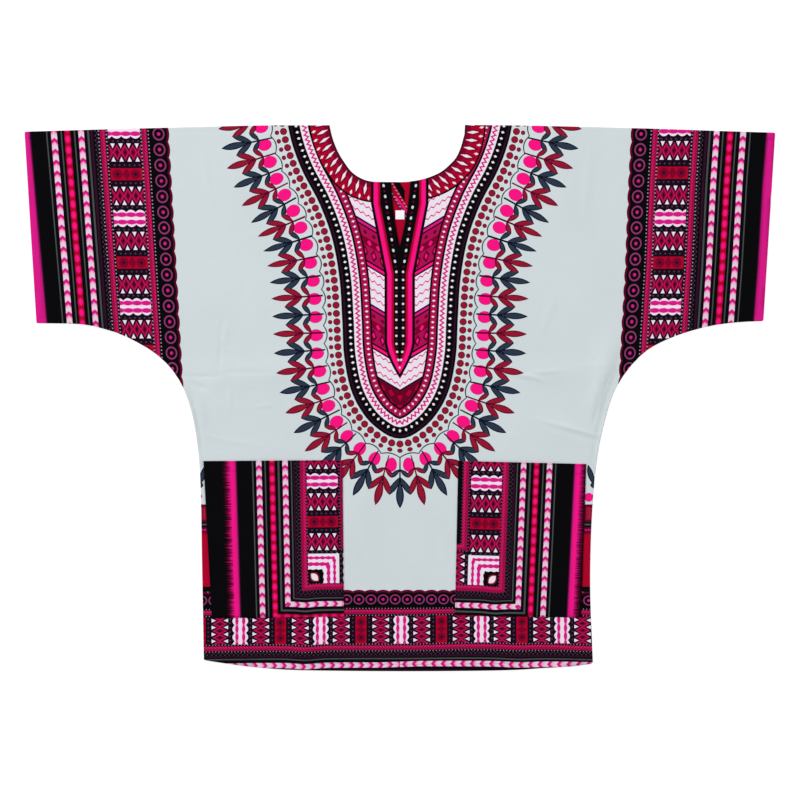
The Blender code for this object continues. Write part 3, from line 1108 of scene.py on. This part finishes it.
def seam_relief(points, distance):
    """The raised edge of a seam and the dip beside it, deepest and most uneven under the arms."""
    x, y = points.T
    underarm = np.exp(-((abs(x) - 306) / 46) ** 2 - ((y + 16) / 84) ** 2)
    uneven = 1 + 0.4 * np.sin(y / 8.0 + x / 23.0) * np.sin(y / 19.0 - x / 14.0)
    ridge = 0.8 * np.exp(-(distance / 2.4) ** 2)
    dip = 1.1 * np.exp(-((distance - 6.5) / 3.0) ** 2)
    return (ridge - dip) * (0.25 + 0.75 * underarm) * uneven * MM


def hem_relief(distance):
    """The step of a turned hem, and the line that its stitches pull in."""
    step = 0.45 * (1 - smooth_step((distance - HEM_DEPTH) / 2.0))
    return (step - 0.3 * np.exp(-((distance - HEM_DEPTH + 1.5) / 1.1) ** 2)) * MM


def back_rise(points, near_seam):
    """Height of the back's underside: it lies on the surface but for where a fold lifts its edge."""
    return fold_lift(*points.T, FOLDS) * (1 - smooth_step(near_seam / 16))


def front_underside(points, near_seam, sizes):
    """Height of the front's underside at places in millimetres: rolled down where it is sewn to the back."""
    rolled = smooth_step(near_seam * MM / sizes.seam_roll)
    low = sizes.thickness + 0.1 * MM
    level = low + (sizes.layer - low) * rolled + seam_relief(points, near_seam)
    lifted = level + fold_lift(*points.T, FOLDS) + fold_lift(*points.T, CREASES) * (0.3 + 0.7 * rolled)
    return np.maximum(lifted, back_rise(points, near_seam) + low)


class DASHIKI_OT_front(bpy.types.Operator):
    """Lay the printed front with its kimono sleeves"""
    bl_idname = "dashiki.front"
    bl_label = "Front"

    def execute(self, context):
        sizes = context.scene.dashiki_cloth
        bm = flat_pattern("front")
        seams, hems = seams_and_hems(bm)
        cut_grid(bm, sizes.facet)
        sewn = ((*hems, HEM_DEPTH - 1, 4), (*seams, 4, 6))
        refine(bm, lambda p: near_crease(p) | near_edge(p, sewn), sizes.facet, 2)
        ground = Cloth("pale_ground", "pale").finish()
        prints = [ground, yoke_print(), sleeve_print(), hem_print(), side_print()]
        print_panel(bm)
        points = plan(bm.verts)
        heights = front_underside(points, distance_to(points, *seams), sizes)
        set_heights(bm, heights + hem_relief(distance_to(points, *hems)))
        piece = thick_piece(bm, "front_cloth", prints, sizes.thickness)
        lay_on_frame(piece, "front")
        return {"FINISHED"}


class DASHIKI_OT_back(bpy.types.Operator):
    """Lay the back, which the shirt rests on"""
    bl_idname = "dashiki.back"
    bl_label = "Back"

    def execute(self, context):
        sizes = context.scene.dashiki_cloth
        bm = flat_pattern("back")
        seams, _ = seams_and_hems(bm)
        cut_grid(bm, sizes.facet)
        print_panel(bm)
        points = plan(bm.verts)
        set_heights(bm, back_rise(points, distance_to(points, *seams)))
        prints = list(bpy.data.objects["front_cloth"].data.materials)
        materials = [inside_print()] * len(prints) + prints
        piece = thick_piece(bm, "back_cloth", materials, sizes.thickness, len(prints))
        lay_on_frame(piece, "back")
        return {"FINISHED"}


def pocket_border(node, points):
    """Down and out along a pocket's own border, in metres. It dips in the middle of its foot."""
    border = POCKET_BORDERS[node]
    top, foot = np.array(POCKET_INNER_EDGES[node])
    down = foot - top
    down /= np.hypot(*down)
    outwards = np.array((-down[1], down[0])) * math.copysign(1, top[0])
    below = (points - top) @ down
    below = below - smooth_step((below - 150) / 40) * 1.6 * np.exp(-((abs(points[:, 0]) - 141) / 13) ** 2)
    across = (points - top) @ outwards / (border.width - border.narrowing * below) + border.start
    return np.stack((below, across), axis=1) * MM


class DASHIKI_OT_pockets(bpy.types.Operator):
    """Sew the two patch pockets on the front"""
    bl_idname = "dashiki.pockets"
    bl_label = "Pockets"

    def execute(self, context):
        sizes = context.scene.dashiki_cloth
        material = pocket_print()
        for node in POCKET_INNER_EDGES:
            bm = flat_pattern(node)
            start, end = outline_edges(bm)
            cut_grid(bm, sizes.facet / 2)
            merge_close(bm)
            points = plan(bm.verts)
            uvs = pocket_border(node, points)
            write_uv(bm, "border", lambda face, v: uvs[v.index])
            sewn = ~((start[:, 1] > POCKET_MOUTH) & (end[:, 1] > POCKET_MOUTH))
            from_seam = distance_to(points, start[sewn], end[sewn])
            heights = front_underside(points, np.full(len(points), 1e3), sizes) + sizes.pocket_rise
            held = sizes.thickness * 0.65 * (1 - smooth_step(from_seam / 5))
            set_heights(bm, heights - held + fold_lift(*points.T, POCKET_FOLDS) * smooth_step(from_seam / 20))
            piece = thick_piece(bm, node + "_cloth", [material], sizes.thickness)
            lay_on_frame(piece, node)
            low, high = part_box(node)
            flat = (high.x - low.x + 2 * POCKET_TURNING, high.y - low.y + POCKET_TURNING + MOUTH_HEM)
            flat = tuple(round(side, 3) for side in flat)
        return {"FINISHED"}


def inset_outline(node, inset):
    """A node's outline in millimetres, in order, with the same outline moved inside it by a distance."""
    bm = flat_pattern(node)
    outline = plan(bm.faces[:][0].verts)
    bm.free()
    after = np.roll(outline, -1, axis=0)
    if np.sum(outline[:, 0] * after[:, 1] - outline[:, 1] * after[:, 0]) < 0:
        outline = outline[::-1]
        after = np.roll(outline, -1, axis=0)
    run = (after - outline) / np.maximum(np.hypot(*(after - outline).T), 1e-9)[:, None]
    inwards = np.stack((-run[:, 1], run[:, 0]), axis=1)
    both = inwards + np.roll(inwards, 1, axis=0)
    spread = np.maximum(1 + np.sum(inwards * np.roll(inwards, 1, axis=0), axis=1), 0.6)
    return outline, outline + both / spread[:, None] * inset


def stitch_ends(node, inset, sewn_here, pitch):
    """Both ends of each stitch, in millimetres, along the parts of an outline that are sewn."""
    outline, line = inset_outline(node, inset)
    kept = sewn_here(*outline.T)
    gone = 0.0
    for a, b, here, there in zip(line, np.roll(line, -1, axis=0), kept, np.roll(kept, -1)):
        length = np.hypot(*(b - a))
        if here and there and length > 0:
            for i in range(math.ceil(gone / pitch), math.ceil((gone + length) / pitch)):
                middle = a + (b - a) * ((i * pitch - gone) / length)
                half = (b - a) / length * pitch * 0.36
                yield middle - half, middle + half
        gone += length


# Sewn lines: node, distance inside its outline in millimetres, and the places where the outline has them.
SEWN_LINES = [
    ("front", HEM_DEPTH - 1.5, at_hem),
    ("front", 2.2, at_neck),
    ("pocket_left", 2.0, lambda x, y: (y < -91.9) | (abs(x + 189) > 103)),
    ("pocket_right", 2.0, lambda x, y: (y < -93.2) | (abs(x - 182) > 95)),
    ("pocket_left", 15.0, lambda x, y: y > -96),
    ("pocket_right", 15.0, lambda x, y: y > -101),
]


class DASHIKI_OT_stitching(bpy.types.Operator):
    """Sew the hems, the neck and the pockets' edges with dark thread"""
    bl_idname = "dashiki.stitching"
    bl_label = "Stitching"

    def execute(self, context):
        sizes = context.scene.dashiki_cloth
        graph = context.evaluated_depsgraph_get()
        surfaces = {node: BVHTree.FromObject(bpy.data.objects[node + "_cloth"], graph)
                    for node in ("front", "pocket_left", "pocket_right")}
        bm = bmesh.new()
        bmesh.ops.create_uvsphere(bm, u_segments=6, v_segments=4, radius=1)
        stitch = bpy.data.meshes.new("stitch")
        bm.to_mesh(stitch)
        bm.clear()
        down = Vector((0, 0, -1))
        for node, inset, sewn_here in SEWN_LINES:
            for ends in stitch_ends(node, inset, sewn_here, sizes.stitch / MM):
                hits = [surfaces[node].ray_cast(Vector((*end, 50)) * MM, down)[0] for end in ends]
                if None not in hits:
                    low, high = hits
                    turned = (high - low).to_track_quat("Z", "Y").to_matrix().to_4x4()
                    middle = (low + high) / 2 + Vector((0, 0, sizes.thread * 0.2))
                    shape = Matrix.Diagonal((sizes.thread / 2, sizes.thread / 2, (high - low).length / 2, 1))
                    placed = Matrix.Translation(middle) @ turned @ shape
                    stitch.transform(placed)
                    bm.from_mesh(stitch)
                    stitch.transform(placed.inverted())
        piece = add_object(bm, "topstitching", [Cloth("thread", "black").finish(0.3, 0.6)])
        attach(piece, "root")
        return {"FINISHED"}


class DASHIKI_OT_label(bpy.types.Operator):
    """Lay the blank label inside the back"""
    bl_idname = "dashiki.label"
    bl_label = "Label"

    def execute(self, context):
        sizes = context.scene.dashiki_cloth
        low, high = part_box("neck_label")
        bm = bmesh.new()
        bmesh.ops.create_grid(bm, x_segments=14, y_segments=14, size=(high.x - low.x) / 2)
        bmesh.ops.translate(bm, verts=bm.verts[:], vec=((low.x + high.x) / 2, (low.y + high.y) / 2, 0))
        for v in bm.verts:
            across = (v.co.x - low.x) / (high.x - low.x)
            v.co.z = sizes.thickness + 0.25 * MM + 0.35 * MM * math.sin(math.pi * across) ** 2
        tape = Cloth("label_tape", "tape").finish(0.25, 0.5)
        piece = thick_piece(bm, "label", [tape], 0.35 * MM)
        lay_on_frame(piece, "neck_label")
        return {"FINISHED"}


def set_inputs(node, values):
    """Set a node's sockets by their names."""
    for name, value in values.items():
        node.inputs[name].default_value = value


class DASHIKI_OT_stage(bpy.types.Operator):
    """Set the pale floor, the soft light and the camera above the shirt"""
    bl_idname = "dashiki.stage"
    bl_label = "Stage"

    def execute(self, context):
        scene = context.scene
        paper = bpy.data.materials.new("floor_paper")
        paper.use_nodes = True
        set_inputs(paper.node_tree.nodes["Principled BSDF"], {
            "Base Color": (0.3, 0.3, 0.3, 1), "Roughness": 0.9,
            "Emission Color": (1, 1, 1, 1), "Emission Strength": 0.8})
        bm = bmesh.new()
        bmesh.ops.create_grid(bm, x_segments=1, y_segments=1, size=4)
        floor = add_object(bm, "floor", [paper])
        floor.location.z = -0.0004
        world = bpy.data.worlds.new("studio")
        world.use_nodes = True
        set_inputs(world.node_tree.nodes["Background"], {"Color": (1, 1, 1, 1), "Strength": 0.545})
        scene.world = world
        for name, place, size, power in LIGHTS:
            light = bpy.data.lights.new(name, "AREA")
            light.size = size
            light.energy = power
            lamp = bpy.data.objects.new(name, light)
            lamp.location = place
            lamp.rotation_euler = Vector(place).to_track_quat("Z", "Y").to_euler()
            scene.collection.objects.link(lamp)
        camera = bpy.data.cameras.new("camera")
        camera.sensor_width = SENSOR
        camera.lens = SENSOR * CAMERA_HEIGHT / FRAME_WIDTH
        camera.clip_end = 50
        view = bpy.data.objects.new("camera", camera)
        view.location = (*FRAME_CENTRE, CAMERA_HEIGHT)
        scene.collection.objects.link(view)
        scene.camera = view
        scene.view_settings.view_transform = "Standard"
        return {"FINISHED"}


class DASHIKI_PT_panel(bpy.types.Panel):
    """Buttons and sizes of the dashiki"""
    bl_idname = "DASHIKI_PT_panel"
    bl_label = "Dashiki"
    bl_space_type = "VIEW_3D"
    bl_region_type = "UI"
    bl_category = "Dashiki"

    def draw(self, context):
        for group in (context.scene.dashiki_cloth, context.scene.dashiki_colours):
            box = self.layout.box()
            for name in group.__annotations__:
                box.prop(group, name)
        for operator in OPERATORS:
            self.layout.operator(operator.bl_idname)


OPERATORS = [DASHIKI_OT_stage, DASHIKI_OT_front, DASHIKI_OT_back, DASHIKI_OT_pockets, DASHIKI_OT_stitching,
             DASHIKI_OT_label]
CLASSES = [DashikiCloth, DashikiColours, *OPERATORS, DASHIKI_PT_panel]


def register():
    for item in CLASSES:
        bpy.utils.register_class(item)
    bpy.types.Scene.dashiki_cloth = bpy.props.PointerProperty(type=DashikiCloth)
    bpy.types.Scene.dashiki_colours = bpy.props.PointerProperty(type=DashikiColours)


def unregister():
    del bpy.types.Scene.dashiki_colours
    del bpy.types.Scene.dashiki_cloth
    for item in reversed(CLASSES):
        bpy.utils.unregister_class(item)


def main():
    register()
    for operator in OPERATORS:
        group, name = operator.bl_idname.split(".")
        getattr(getattr(bpy.ops, group), name)()


if __name__ == "__main__":
    main()
